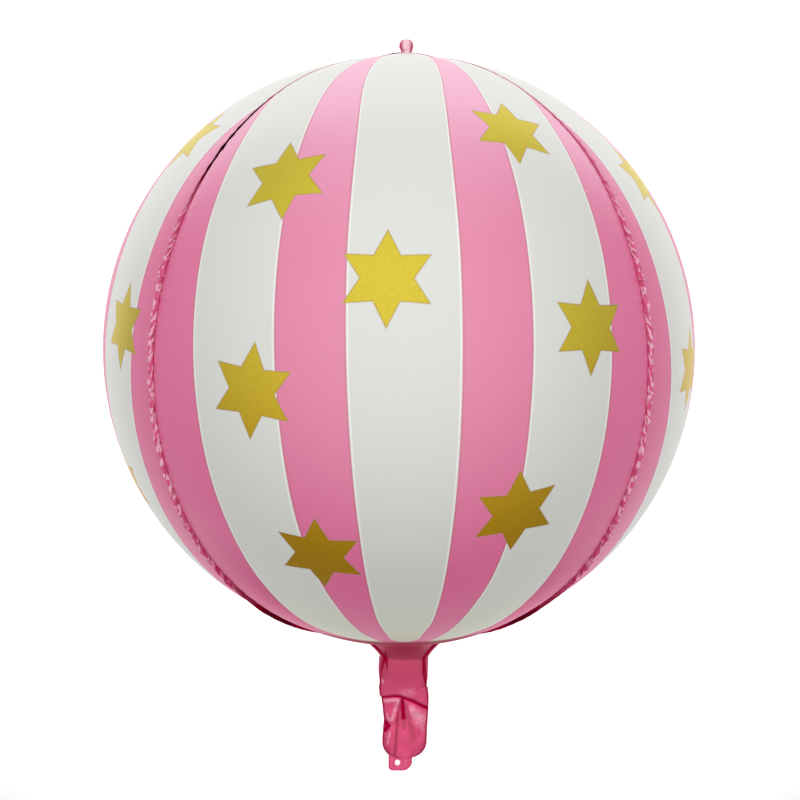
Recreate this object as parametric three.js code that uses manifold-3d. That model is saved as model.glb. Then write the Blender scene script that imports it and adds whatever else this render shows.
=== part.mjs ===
// Round foil balloon lying on its side: four printed foil panels welded edge to edge.
// Millimetres, +Z up. The knob is at +Y, the filling neck at -Y, and the front panel faces up.
// The origin is the middle of the small flat spot that the balloon rests on.
import * as THREE from 'three';
import { mergeGeometries, mergeVertices } from 'three/addons/utils/BufferGeometryUtils.js';
import Module from 'manifold-3d';

const wasm = await Module();
wasm.setup();

// Ball
const ballDiameter = 400; // outside, over the middle of two opposite panels
const seamDip = 4.7; // how far the foot of a seam lies below the ball's full radius
const endFlattening = 2; // how far the panels' ends fall short of the ball's full radius
const seamLean = 1.2; // degrees that the seam right of the front panel stands further round
const endSeamLean = 3; // the same towards the ball's two ends
const knobGather = 4; // how far the panels rise again where they are gathered into the knob
const restDepth = 3; // how much of the ball is flattened where it rests
const gap = 0.3; // clearance between two panels that touch

// Welded flanges along the four seams
const flangeWidth = 3.4; // foot to free edge
const flangeThickness = 0.6; // one panel's share
const neckFlange = 0.8; // what is left of a flange's width at the knob and along the neck

// Knob of gathered panel ends
const knobLength = 10; // from the gathered panels to its tip
const knobWidth = 9.4;
const knobDepth = 7.2;
const knobWaist = 7.6; // width where it leaves the ball
const knobRounding = 5.6; // length of its round end
const knobDip = 0.05; // depth of the grooves between its four lobes, as a share of its radius
const knobOffset = 3.6; // to the side of the ball's middle

// Filling neck, a flattened tube
const neckLength = 107; // from the ball's end to the neck's round end
const neckTopWidth = 35.4;
const neckEndWidth = 31.8;
const neckTopDepth = 16; // front to back where the tube is still open
const neckDepth = 6; // front to back where it lies flat and creased
const neckCorner = 13; // radius of its round end
const neckOffset = 5.5; // to the side of the ball's middle
const funnelLength = 28; // from the ball's end to where the tube is straight
const flatLength = 62; // from the ball's end to where the tube lies flat
const gussetLength = 51; // from the ball's end to the tips of the two side panels
const funnelFullness = 0.55; // how far the funnel keeps to the ball's slope, as a share of its length
const mouthFullness = 0.3; // how far it keeps to the neck's line, as a share of its length
const mouthFlare = 1.24; // width there, as a share of the neck's
const foldDepth = 0.5; // how deep a crease is, as a share of the leaf's height there
const foldWidth = 2.6;

// Tab at the neck's end, with the hole that a ribbon goes through
const tabWidth = 17.5;
const tabLength = 10;
const tabThickness = 0.9; // one panel's share
const tabOverlap = 5; // how far it runs up into the neck
const tabOffset = -2.4; // from the neck's middle
const tabCorner = 3.2;
const holeWidth = 3.5;
const holeLength = 4.7;
const holeOffset = -4.5; // from the neck's middle
const holeInset = 3.9; // from the neck's round end to the hole's middle

// Latitudes, in degrees, between which the ball changes towards its two ends
const flattening = [58, 86];
const gathering = [80, 90];
const fading = [45, 86]; // the seams' dip and the flanges run out
const shifting = [50, 86]; // its middle line moves over to the knob and to the neck
const leaning = [20, 50];
const leanFading = [56, 72];

// Fineness of the faceted surface
const widestFlange = 0.3; // the most that a flange may take of a narrow panel's width
const tipCut = 0.4; // length of the rounded tips that is cut off flat
const skinSegments = 12;
const ballRows = 26;
const knobRows = 6;
const funnelRows = 8;
const gussetRows = 7;
const neckRows = 11;
const cornerRows = 5;
const tabSegments = 8; // in each of the tab's rounded corners
const holeSegments = 16;

const ballRadius = ballDiameter / 2;
const axisHeight = ballRadius - restDepth;
const ballEnd = ballRadius - endFlattening;
const knobFoot = ballEnd + knobGather;
const knobClearance = knobLength / 10; // how far above its foot the knob's last section lies
const quarter = Math.PI / 4; // a panel's usual reach either side of its middle
const topLatitude = THREE.MathUtils.degToRad(87);
const funnelLatitude = THREE.MathUtils.degToRad(-72);
const openSeam = THREE.MathUtils.degToRad(53); // seam's angle where the neck begins
const closedSeam = THREE.MathUtils.degToRad(75); // seam's angle at the tip of a side panel

// The four panels. seams are the numbers of the seams on either side of a panel, going round
// clockwise as seen from the neck's end, with seam 0 between the front and the right panel.
const panels = [
  { name: 'front_panel', seams: [3, 0], sideways: false, hasNeck: true, color: 0xf0e4e6 },
  { name: 'right_panel', seams: [0, 1], sideways: true, hasNeck: false, color: 0xe88fb3 },
  { name: 'back_panel', seams: [1, 2], sideways: false, hasNeck: true, color: 0xf0e4e6 },
  { name: 'left_panel', seams: [2, 3], sideways: true, hasNeck: false, color: 0xe88fb3 },
];

// Creases of the neck's two leaves, as lines from one point to another. A point is [across from
// the neck's middle, down from the ball's end], as shares of half its width and of its length.
const foldsOfLeaf = {
  front_panel: [
    { from: [-0.9, 0.54], to: [-0.15, 0.54] },
    { from: [-0.15, 0.54], to: [0.95, 0.63] },
    { from: [-0.06, 0.55], to: [-0.06, 0.77] },
    { from: [-0.3, 0.59], to: [-0.42, 0.94] },
  ],
  back_panel: [
    { from: [-0.95, 0.6], to: [0.9, 0.53] },
    { from: [0.18, 0.56], to: [0.3, 0.9] },
  ],
};

function foldPoint([across, down]) {
  return new THREE.Vector3((across * neckTopWidth) / 2, down * neckLength, 0);
}

// How far a point of the neck is from a crease's line.
function distanceToFold(fold, across, down) {
  const line = new THREE.Line3(foldPoint(fold.from), foldPoint(fold.to));
  const point = new THREE.Vector3(across, down, 0);
  return line.closestPointToPoint(point, true, new THREE.Vector3()).distanceTo(point);
}

// What the creases take away at a point of the neck, as a share of the leaf's height there.
function foldShare(panelName, across, down) {
  const folds = foldsOfLeaf[panelName] ?? [];
  const nearness = folds.map((fold) => {
    return Math.exp(-((distanceToFold(fold, across, down) / foldWidth) ** 2));
  });
  return foldDepth * Math.max(0, ...nearness);
}

// Angles of the four seams round the axis, from straight up. opening is the angle of all four
// from the front or back panel's middle, and lean is what seam 0 stands further round.
function seamAngles(opening, lean) {
  return [opening + lean, Math.PI - opening, Math.PI + opening, 2 * Math.PI - opening];
}

// Distance from the axis to a panel's skin, as a share of the distance over its middle.
// Each panel bulges between its seams as one arc. turn runs from -1 to 1 between the seams,
// and dip is the share that the seam falls short.
function bulge(turn, dip) {
  const seamShare = 1 - dip;
  const arc = (seamShare ** 2 + 1 - 2 * seamShare * Math.cos(quarter))
    / (2 * (1 - seamShare * Math.cos(quarter)));
  const centre = 1 - arc;
  const angle = turn * quarter;
  return centre * Math.cos(angle) + Math.sqrt(arc ** 2 - (centre * Math.sin(angle)) ** 2);
}

// A section is the balloon's outline square to its axis at y.
// slope is the angle that the skin, and so a flange that stands on it, faces up or down the axis.
function ballSection(latitude) {
  const towardsEnd = ([from, to]) => {
    return THREE.MathUtils.smoothstep(THREE.MathUtils.radToDeg(Math.abs(latitude)), from, to);
  };
  const atKnob = latitude > 0;
  const gathered = atKnob ? knobGather * towardsEnd(gathering) : 0;
  const radius = ballRadius - endFlattening * towardsEnd(flattening) + gathered;
  const across = radius * Math.cos(latitude);
  const faded = towardsEnd(fading);
  const fullLean = THREE.MathUtils.lerp(seamLean, endSeamLean, towardsEnd(leaning));
  const lean = fullLean * (1 - towardsEnd(leanFading));
  return {
    y: radius * Math.sin(latitude),
    shift: (atKnob ? knobOffset : neckOffset) * towardsEnd(shifting),
    halfWidth: across,
    halfDepth: across,
    seams: seamAngles(quarter, THREE.MathUtils.degToRad(lean)),
    slope: latitude,
    dip: (seamDip * (1 - faded)) / Math.cos(latitude) / across,
    flange: THREE.MathUtils.lerp(flangeWidth, neckFlange, faded),
  };
}

function knobSections() {
  const sections = [];
  for (let row = 0; row <= knobRows; row += 1) {
    const down = THREE.MathUtils.lerp(tipCut, knobLength, row / knobRows);
    const roundness = Math.sqrt(1 - (1 - Math.min(1, down / knobRounding)) ** 2);
    const waist = THREE.MathUtils.smoothstep(down, knobLength / 2, knobLength);
    const width = THREE.MathUtils.lerp(knobWidth, knobWaist, waist) * roundness;
    sections.push({
      y: knobFoot + knobLength - down + knobClearance * (row / knobRows),
      shift: knobOffset,
      halfWidth: width / 2,
      halfDepth: (width / 2) * (knobDepth / knobWidth),
      seams: seamAngles(quarter, 0),
      slope: 0,
      dip: knobDip,
      flange: neckFlange * roundness / 2,
    });
  }
  return sections;
}

function funnelSections(start) {
  const downAlongBall = new THREE.Vector2(Math.sin(funnelLatitude), Math.cos(funnelLatitude));
  const foot = new THREE.Vector2(start.halfWidth, -start.y);
  const mouth = new THREE.Vector2(neckTopWidth / 2, ballEnd + funnelLength);
  const curve = new THREE.CubicBezierCurve(
    foot,
    foot.clone().addScaledVector(downAlongBall, funnelFullness * funnelLength),
    new THREE.Vector2(mouthFlare * mouth.x, mouth.y - mouthFullness * funnelLength),
    mouth,
  );
  const sections = [];
  for (let row = 1; row <= funnelRows; row += 1) {
    const along = row / funnelRows;
    const point = curve.getPoint(along);
    const eased = THREE.MathUtils.smoothstep(along, 0, 1);
    const flatness = THREE.MathUtils.lerp(1, neckTopDepth / neckTopWidth, eased);
    sections.push({
      y: -point.y,
      shift: THREE.MathUtils.lerp(start.shift, neckOffset, eased),
      halfWidth: point.x,
      halfDepth: point.x * flatness,
      seams: seamAngles(THREE.MathUtils.lerp(quarter, openSeam, eased), 0),
      slope: THREE.MathUtils.lerp(start.slope, 0, eased),
      dip: THREE.MathUtils.lerp(start.dip, 0, eased),
      flange: THREE.MathUtils.lerp(start.flange, neckFlange, eased),
    });
  }
  return sections;
}

function neckSection(down) {
  const along = (down - funnelLength) / (neckLength - funnelLength);
  const flattened = THREE.MathUtils.smoothstep(down, funnelLength, flatLength);
  const closing = THREE.MathUtils.clamp((down - funnelLength) / (gussetLength - funnelLength), 0, 1);
  const straightWidth = THREE.MathUtils.lerp(neckTopWidth, neckEndWidth, along);
  const intoCorner = Math.max(0, down - (neckLength - neckCorner));
  const cornerLoss = neckCorner - Math.sqrt(neckCorner ** 2 - intoCorner ** 2);
  const opening = down > gussetLength ? 2 * quarter : THREE.MathUtils.lerp(openSeam, closedSeam, closing);
  return {
    y: -(ballEnd + down),
    shift: neckOffset,
    halfWidth: straightWidth / 2 - cornerLoss,
    halfDepth: THREE.MathUtils.lerp(neckTopDepth, neckDepth, flattened) / 2,
    seams: seamAngles(opening, 0),
    slope: 0,
    dip: 0,
    flange: neckFlange,
  };
}

// Evenly spaced values after from, up to and with to.
function stepsBetween(from, to, count) {
  return Array.from({ length: count }, (_, index) => from + ((to - from) * (index + 1)) / count);
}

// Every section from the knob's tip to the neck's end, in order.
function allSections() {
  const ball = [];
  for (let row = 0; row <= ballRows; row += 1) {
    ball.push(ballSection(THREE.MathUtils.lerp(topLatitude, funnelLatitude, row / ballRows)));
  }
  const cornerStart = neckLength - neckCorner;
  const cornerEnd = neckLength - tipCut;
  const downs = [
    ...stepsBetween(funnelLength, gussetLength, gussetRows),
    ...stepsBetween(gussetLength, cornerStart, neckRows),
    ...stepsBetween(cornerStart, cornerEnd, cornerRows),
  ];
  return [
    ...knobSections(),
    ...ball,
    ...funnelSections(ball[ballRows]),
    ...downs.map(neckSection),
  ];
}

// One panel's closed outline in a section: inner edge, one seam with its flange, skin, other seam.
function panelRing(panel, section) {
  const to = section.seams[panel.seams[1]];
  const from = section.seams[panel.seams[0]] - (panel.seams[1] === 0 ? 2 * Math.PI : 0);
  const onSkin = (turn) => {
    const angle = THREE.MathUtils.lerp(from, to, (turn + 1) / 2);
    const share = bulge(turn, section.dip);
    return new THREE.Vector2(
      section.halfWidth * Math.sin(angle) * share,
      section.halfDepth * Math.cos(angle) * share,
    );
  };
  const toPoint = (place, lift) => {
    return new THREE.Vector3(place.x + section.shift, section.y + lift, place.y + axisHeight);
  };
  const middle = panels.indexOf(panel) * 2 * quarter;
  const outward = new THREE.Vector2(Math.sin(middle), Math.cos(middle));
  const strip = onSkin(-1).distanceTo(onSkin(1));
  const thickness = Math.min(flangeThickness, widestFlange * strip - gap / 2);

  const seamSide = (side) => {
    const foot = onSkin(side);
    const along = foot.clone().normalize();
    const inward = new THREE.Vector2(-along.y, along.x);
    if (inward.dot(outward) < 0) inward.negate();
    const at = (height, offset) => {
      const distance = foot.length() + height * Math.cos(section.slope);
      const place = along.clone().multiplyScalar(distance).addScaledVector(inward, offset);
      return toPoint(place, height * Math.sin(section.slope));
    };
    return {
      inner: at(section.flange, gap / 2),
      outer: at(section.flange, gap / 2 + thickness),
      foot: at(0, gap / 2 + thickness),
      openness: Math.abs(along.cross(outward)),
    };
  };
  const before = seamSide(-1);
  const after = seamSide(1);
  const edgeTurn = (gap / 2 + thickness) / (strip / 2);
  const skin = [];
  for (let index = 1; index < skinSegments; index += 1) {
    const turn = THREE.MathUtils.lerp(edgeTurn - 1, 1 - edgeTurn, index / skinSegments);
    const point = onSkin(turn);
    const relief = foldShare(panel.name, point.x, -section.y - ballEnd) * point.dot(outward);
    skin.push(toPoint(point.addScaledVector(outward, -relief), 0));
  }
  const innerEdge = outward.clone().multiplyScalar(gap / 2 / before.openness);
  return [
    toPoint(innerEdge, 0),
    before.inner, before.outer, before.foot,
    ...skin,
    after.foot, after.outer, after.inner,
  ];
}

// A closed skin through a stack of outlines, with a flat end at the first and the last.
// Side panels run round the other way, so that two facing edges are divided alike.
function loft(rings, reversed) {
  const around = rings[0].length;
  const wall = new THREE.CylinderGeometry(1, 1, 1, around, rings.length - 1, true);
  const places = wall.getAttribute('position');
  for (let row = 0; row < rings.length; row += 1) {
    for (let column = 0; column <= around; column += 1) {
      const step = column % around;
      const point = rings[row][reversed ? (around - step) % around : step];
      places.setXYZ(row * (around + 1) + column, point.x, point.y, point.z);
    }
  }
  const caps = [rings[0], rings[rings.length - 1]].map((ring, end) => {
    const shape = new THREE.Shape(ring.map((point) => new THREE.Vector2(point.x, point.z)));
    const cap = new THREE.ShapeGeometry(shape);
    const capPlaces = cap.getAttribute('position');
    for (let index = 0; index < capPlaces.count; index += 1) {
      capPlaces.setXYZ(index, capPlaces.getX(index), ring[0].y, capPlaces.getY(index));
    }
    const facesUp = end === 0;
    return facesUp ? turnedRound(cap) : cap;
  });
  return mergeGeometries([reversed ? turnedRound(wall) : wall, ...caps]);
}

function turnedRound(geometry) {
  const corners = geometry.getIndex();
  for (let index = 0; index < corners.count; index += 3) {
    const second = corners.getX(index + 1);
    corners.setX(index + 1, corners.getX(index + 2));
    corners.setX(index + 2, second);
  }
  return geometry;
}

function toSolid(geometry) {
  const bare = geometry.clone();
  bare.deleteAttribute('normal');
  bare.deleteAttribute('uv');
  const merged = mergeVertices(bare, 1e-4);
  return new wasm.Manifold(new wasm.Mesh({
    numProp: 3,
    vertProperties: new Float32Array(merged.getAttribute('position').array),
    triVerts: new Uint32Array(merged.getIndex().array),
  }));
}

function toGeometry(solid) {
  const mesh = solid.getMesh();
  const geometry = new THREE.BufferGeometry();
  geometry.setAttribute('position', new THREE.BufferAttribute(new Float32Array(mesh.vertProperties), 3));
  geometry.setIndex(new THREE.BufferAttribute(new Uint32Array(mesh.triVerts), 1));
  geometry.computeVertexNormals();
  return geometry;
}

// Outline of the tab, seen from above: x across, y along the balloon's axis.
function tabShape() {
  const left = neckOffset + tabOffset - tabWidth / 2;
  const right = left + tabWidth;
  const top = -(ballEnd + neckLength) + tabOverlap;
  const bottom = -(ballEnd + neckLength + tabLength);
  const roundEnd = tabLength / 2;
  const shape = new THREE.Shape();
  shape.moveTo(left, top);
  shape.lineTo(left, bottom + tabCorner);
  shape.absarc(left + tabCorner, bottom + tabCorner, tabCorner, Math.PI, 1.5 * Math.PI, false);
  shape.lineTo(right - roundEnd, bottom);
  shape.absarc(right - roundEnd, bottom + roundEnd, roundEnd, 1.5 * Math.PI, 2 * Math.PI, false);
  shape.lineTo(right, top);
  return shape;
}

// Both leaves of the tab lie against the neck's middle plane, one above it and one below.
function tabSolid(above) {
  const leaf = new THREE.ExtrudeGeometry(tabShape(), {
    depth: tabThickness,
    bevelEnabled: false,
    curveSegments: tabSegments,
  });
  const bottomFace = above ? axisHeight + gap / 2 : axisHeight - gap / 2 - tabThickness;
  leaf.translate(0, 0, bottomFace);
  return toSolid(leaf);
}

function holeSolid() {
  const hole = new THREE.CylinderGeometry(1, 1, neckDepth, holeSegments);
  hole.rotateX(Math.PI / 2);
  hole.scale(holeWidth / 2, holeLength / 2, 1);
  hole.translate(neckOffset + holeOffset, -(ballEnd + neckLength + holeInset), axisHeight);
  return toSolid(hole);
}

// What lies below the surface that the balloon rests on.
function groundSolid() {
  const ground = new THREE.BoxGeometry(ballDiameter, ballDiameter, ballRadius);
  ground.translate(0, 0, -ballRadius / 2);
  return toSolid(ground);
}

function panelSolid(panel) {
  const sections = allSections();
  const rowCount = panel.hasNeck
    ? sections.length
    : knobRows + 1 + ballRows + 1 + funnelRows + gussetRows;
  const rings = sections.slice(0, rowCount).map((section) => panelRing(panel, section));
  let solid = toSolid(loft(rings, panel.sideways));
  if (panel.hasNeck) {
    solid = solid.add(tabSolid(panel === panels[0])).subtract(holeSolid());
  }
  return solid.subtract(groundSolid());
}

const balloon = new THREE.Group();
for (const panel of panels) {
  const foil = new THREE.MeshStandardMaterial({ color: panel.color, roughness: 0.35, metalness: 0.2 });
  const mesh = new THREE.Mesh(toGeometry(panelSolid(panel)), foil);
  mesh.name = panel.name;
  balloon.add(mesh);
}

export default balloon;
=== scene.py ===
from math import asin, cos, degrees, exp, pi, radians, sin, sqrt

import bmesh
import bpy
from mathutils import Matrix, Vector, noise
from mathutils.geometry import interpolate_bezier


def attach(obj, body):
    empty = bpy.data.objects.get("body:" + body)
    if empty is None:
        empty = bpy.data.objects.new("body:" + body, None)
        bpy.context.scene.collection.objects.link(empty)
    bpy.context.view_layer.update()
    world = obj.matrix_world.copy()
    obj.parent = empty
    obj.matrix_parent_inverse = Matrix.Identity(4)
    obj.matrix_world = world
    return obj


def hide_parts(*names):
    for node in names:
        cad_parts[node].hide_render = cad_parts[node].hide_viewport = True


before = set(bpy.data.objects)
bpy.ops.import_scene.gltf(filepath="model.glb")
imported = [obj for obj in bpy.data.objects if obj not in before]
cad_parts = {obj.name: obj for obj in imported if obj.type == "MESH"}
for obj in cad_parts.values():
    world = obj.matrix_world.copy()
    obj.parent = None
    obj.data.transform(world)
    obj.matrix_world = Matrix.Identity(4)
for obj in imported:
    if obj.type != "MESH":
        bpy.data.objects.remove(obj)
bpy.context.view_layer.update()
mm = 0.001
print("frame loaded:", sorted(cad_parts))


# Small helpers

def mix(low, high, share):
    return low + (high - low) * share


def clamp(value, low=0.0, high=1.0):
    return max(low, min(high, value))


def ease(value, start, end):
    share = clamp((value - start) / (end - start))
    return share * share * (3 - 2 * share)


def wobble(x, y, z=0.0):
    return noise.noise(Vector((x, y, z)))


# Camera, at the photograph's viewing angle

camera = {
    "target": (0, 0, 0.197),  # middle of the ball
    "distance": 0.6878,
    "elevation": 7.04,  # degrees that it stands towards the knob's end
    "roll": 0.40,
    "lens": 43.98,
    "shift": (0.0013, -0.0631),
}


def makeCamera(v):
    data = bpy.data.cameras.new("camera")
    data.sensor_width = 36
    data.lens = v["lens"]
    data.shift_x, data.shift_y = v["shift"]
    data.clip_start = 0.01
    data.clip_end = 50
    lift = radians(v["elevation"])
    roll = radians(v["roll"])
    back = Vector((0, sin(lift), cos(lift)))
    level = Vector((1, 0, 0))
    steep = Vector((0, cos(lift), -sin(lift)))
    right = level * cos(roll) + steep * sin(roll)
    up = steep * cos(roll) - level * sin(roll)
    turn = Matrix((right, up, back)).transposed().to_4x4()
    thing = bpy.data.objects.new("camera", data)
    thing.matrix_world = Matrix.Translation(Vector(v["target"]) + back * v["distance"]) @ turn
    bpy.context.scene.collection.objects.link(thing)
    bpy.context.scene.camera = thing


makeCamera(camera)
print("camera placed")


# The ball's form, the same as the CAD model's, in millimetres until the mesh is placed

ball = {
    "radius": 200,
    "axisHeight": 197,
    "endFlattening": 2,
    "seamDip": 4.7,
    "knobGather": 4,  # how far the panels rise again towards the knob
    "seamLean": (1.2, 3.0),  # degrees, at the middle and towards the ends
    "knobOffset": 3.6,
    "neckOffset": 5.5,
    "rows": 520,
    "gap": 0.3,  # between two panels
    "neckEndShade": 0.65,  # painted shade: how dark the ball is beside the neck
    # latitudes in degrees, where a pair is what something is eased between
    "top": 87,
    "funnelTop": -72,
    "neckEndShadeFrom": (55.5, 58.5),  # towards the neck, where that painted shade grows
    "flattenFrom": (58, 86),
    "gatherFrom": (80, 90),
    "seamFade": (45, 86),
    "leanFrom": (20, 50),
    "leanFade": (56, 72),
    "offsetFrom": (50, 86),
    "drawInFrom": (10, 45),  # of the stripes on the side panels
}
flange = {
    "width": 3.4,
    "endWidth": 0.8,
    "thickness": 0.32,
    "mostOfStrip": 0.3,  # share of a narrow panel that one weld's thickness may take up
    "crinkle": 7.6,  # length of one crinkle
    "wander": 1.7,  # how unevenly the crinkles follow each other, and over what length
    "wanderLength": 23,
    "swing": (0.55, 0.9),  # least and added size of a crinkle, and over what length it changes
    "swingLength": 11,
    "sharpness": 0.94,
    "waver": 0.45,  # how far its free edge wavers to the side
    "rootWaver": 0.16,
    "endWaver": 0.15,  # share of it that is left where the welds fade out
    "ragged": 0.4,  # how much its height varies, and over what length
    "raggedLength": 5,
    "steps": 3,
    # latitude, share of the width that stands up there, and how dark the painted shade of the fold in there
    # is
    "frontRight": [
        (-90, 0.3, 0.6), (-70, 0.9, 0.65), (-60, 1.15, 0.85), (-54, 1.2, 0.8), (-48, 1, 0.5), (-41, 1, 0),
        (20, 1, 0), (30, 0.8, 0.05), (36, 0.6, 0.1), (50, 0.4, 0.15), (58, 0.25, 0.08), (90, 0.15, 0.05),
    ],
    "frontLeft": [
        (-90, 0.3, 0.6), (-70, 0.9, 0.65), (-60, 1.15, 0.85), (-53, 1.2, 0.8), (-46, 1, 0.5), (-39, 1, 0),
        (15, 1, 0), (26, 0.8, 0.1), (32, 0.45, 0.45), (37, 0.4, 1), (49, 0.3, 1), (53, 0.25, 0.5),
        (60, 0.2, 0.2), (72, 0.15, 0.05), (84, 0.15, 0.05), (87, 0.2, 0.8), (90, 0.2, 0.8),
    ],
    "plain": [
        (-90, 0.3, 0.6), (-70, 0.9, 0.6), (-50, 0.9, 0.5), (-38, 1, 0), (20, 1, 0), (35, 0.7, 0.15),
        (60, 0.3, 0.2), (90, 0.15, 0.05),
    ],
    # latitudes over which it grows smoother towards the neck, and what is left of each there
    "smoothBelow": (-50, -40),
    "smoothRagged": 0.2,
    "smoothWaver": 0.3,
}
flangeOfSeam = ["frontRight", "plain", "plain", "frontLeft"]
skin = {
    "columns": 96,
    "crowding": 0.78,  # how much closer the columns stand by the seams
    "endCrowding": 0.35,  # share of it that is left at both ends
    "shoulder": 1.5,  # how far it stands up beside the seam
    "shoulderReach": 2.4,
    "shoulderEnd": 34,
    "pucker": 0.34,
    "puckerStrength": (0.35, 1.6),
    "puckerLength": 31,
    "puckerStart": 1.2,
    "puckerEnd": 8.5,
    "foldIn": 0.9,  # how wide the painted shade of the fold beside a weld is
    "funnelFold": 3,  # how many times wider it is on the funnel
    "nearWeld": 2.5,
    "sharpAngle": 55,
}
knob = {
    "length": 10,
    "width": 9.4,
    "depth": 7.2,
    "waist": 7.6,
    "rounding": 4.2,
    "dip": 0.08,
    "tipCut": 0.4,
    "foot": 1,  # how far above the ball's end it begins
    # painted shade along the knob's welds
    "seamShade": 0.2,
    "rows": 22,
    "crumple": 0.5,
    "crumpleSize": 3.2,
}
neck = {
    "length": 107,
    "topWidth": 35.4,
    "endWidth": 31.8,
    "topDepth": 16,
    "depth": 6,
    "corner": 13,
    "funnel": 28,
    "flat": 62,
    "gusset": 51,
    "fullness": 0.55,
    "mouthFullness": 0.3,
    "mouthFlare": 1.24,
    "openSeam": 53,
    "closedSeam": 75,
    "tipCut": 0.4,
    "funnelRows": 26,
    "gussetRows": 22,
    "flatRows": 108,
    "cornerRows": 16,
    "topShade": 0.32,  # painted shade: how much darker it is where it begins, under the ball
    # painted shade along the neck's welds, and on the funnel
    "seamShade": 0.6,
    "funnelSeamShade": 0.7,
    "funnelFlange": 0.75,  # height of the welds where the funnel begins, as a share of the ball's
    "crumple": 0.2,
    "crumpleSize": 11,
    "crumpleStretch": 1.6,  # how much longer than wide
    "crumpleSharpness": 1.6,
    "crumpleFrom": (54, 66),
    "ridgeHighlightStrength": (0.85, 0.7),  # brightness of the painted highlights on the ridges and how much it varies
    "ridgeSpots": (1.6, 3),
    # how far its left edge stands in, in mm, at shares of its length
    "leftEdge": [
        (0.2, 0), (0.26, -0.9), (0.36, -1.5), (0.45, -0.9), (0.54, -0.2), (0.56, 1.2), (0.64, 2.1),
        (0.72, 2.8), (0.79, 2.0), (0.86, 1.4), (0.95, 0.8), (1, 0),
    ],
    "rightEdge": [
        (0.2, 0), (0.4, 0), (0.46, 0.6), (0.475, 1.4), (0.49, 0.4), (0.56, -0.4), (0.64, -0.4),
        (0.8, 0), (1, 0),
    ],
}
tab = {
    "width": 17.5,
    "length": 10,
    "thickness": 0.5,
    "overlap": 5,  # how far it runs up into the neck
    "offset": -2.4,
    "corner": 3.2,
    "farCorner": 7.5,  # on the side away from the hole
    "hole": (3.5, 4.7),
    "holeOffset": -4.5,
    "holeInset": 3.9,
    "segments": 96,
    # rings from the hole's rim out to the outline: how far out, and the tone there
    "rings": [(0, -0.8), (0.12, 0.1), (0.5, -0.1), (0.9, 0.15), (1, 0.7)],
    "farthest": 60.0,  # no part of the outline is this far from the hole
}
# Creases and ridges of the two leaves: from and to, each [across, down] as shares of half its width
# and of its length, the width at either end in mm, the share of the leaf's height that it takes
# away, and its tone, which is 1 for the painted shade of a dark fold and below 0 for the painted highlight
# of a bright ridge
neckFolds = {
    "front_panel": [
        ((-0.914, 0.557), (-0.461, 0.541), 1.0, 1.1, 0.2, 0.9),  # the fold across the neck
        ((-0.461, 0.541), (-0.166, 0.543), 1.1, 1.2, 0.25, 0.9),
        ((-0.166, 0.543), (0.332, 0.575), 1.3, 1.4, 0.25, 0.95),
        ((0.332, 0.575), (0.955, 0.632), 1.4, 1.7, 0.3, 0.95),
        ((-0.071, 0.567), (-0.04, 0.64), 1.3, 2.3, 0.3, 0.95),  # creases down from it
        ((-0.04, 0.64), (-0.01, 0.7), 2.3, 2.8, 0.25, 0.75),
        ((-0.01, 0.7), (0.021, 0.786), 2.6, 1.0, 0.2, 0.45),
        ((0.104, 0.618), (0.249, 0.749), 1.2, 1.8, 0.12, 0.45),
        ((0.249, 0.749), (0.415, 0.859), 1.8, 2.6, 0.12, 0.4),
        ((-0.191, 0.603), (-0.266, 0.72), 0.5, 1.6, 0.1, 0.6),
        ((-0.266, 0.72), (-0.374, 1.007), 1.6, 1.1, 0.15, 0.55),
        ((-0.764, 0.742), (-0.598, 0.76), 2.4, 1.6, 0.2, 1.0),  # the pinched edge on the left
        ((-0.789, 0.801), (-0.685, 0.768), 1.4, 2.0, 0.15, 0.95),
        ((-0.852, 0.581), (-0.249, 0.567), 1.5, 1.3, -0.1, -0.75),  # bright ridges, painted highlights
        ((-0.224, 0.574), (-0.515, 0.716), 1.0, 1.3, -0.15, -0.75),
        ((-0.706, 0.68), (-0.532, 0.768), 0.7, 0.7, -0.1, -0.7),
        ((-0.582, 0.808), (-0.706, 0.904), 0.8, 0.7, -0.1, -0.6),
        ((0.291, 0.636), (0.706, 0.709), 3.2, 4.6, -0.1, -0.6),
        ((0.706, 0.709), (0.789, 0.786), 3.0, 1.5, -0.05, -0.35),
        ((0.0, 0.516), (0.291, 0.509), 3.2, 3.4, 0, -0.3),
        ((-0.914, 0.422), (-0.872, 0.443), 0.9, 0.8, -0.05, -0.8),
        ((-0.764, 0.195), (-0.698, 0.32), 1.1, 1.0, 0, 0.8),  # where the sides are folded in, painted shade only
        ((-0.698, 0.32), (-0.777, 0.385), 1.0, 0.7, 0, 0.5),
        ((0.955, 0.245), (0.806, 0.292), 0.9, 1.1, 0, 0.75),
        ((0.806, 0.292), (0.773, 0.357), 1.1, 1.2, 0, 0.85),
        ((0.773, 0.357), (0.906, 0.469), 1.2, 0.8, 0, 0.75),
        ((0.906, 0.469), (0.482, 0.496), 0.7, 0.5, 0.05, 0.45),
        ((0.831, 0.896), (0.249, 0.988), 1.0, 0.8, 0.05, 0.3),  # the seal along the round end
        ((-0.831, 0.845), (-0.54, 0.992), 0.8, 0.8, 0, 0.4),
    ],
    "back_panel": [
        ((-0.95, 0.6), (0.9, 0.53), 1.2, 1.2, 0.5, 0.9),
        ((0.18, 0.56), (0.3, 0.9), 1.0, 1.4, 0.45, 0.7),
    ],
}
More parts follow.
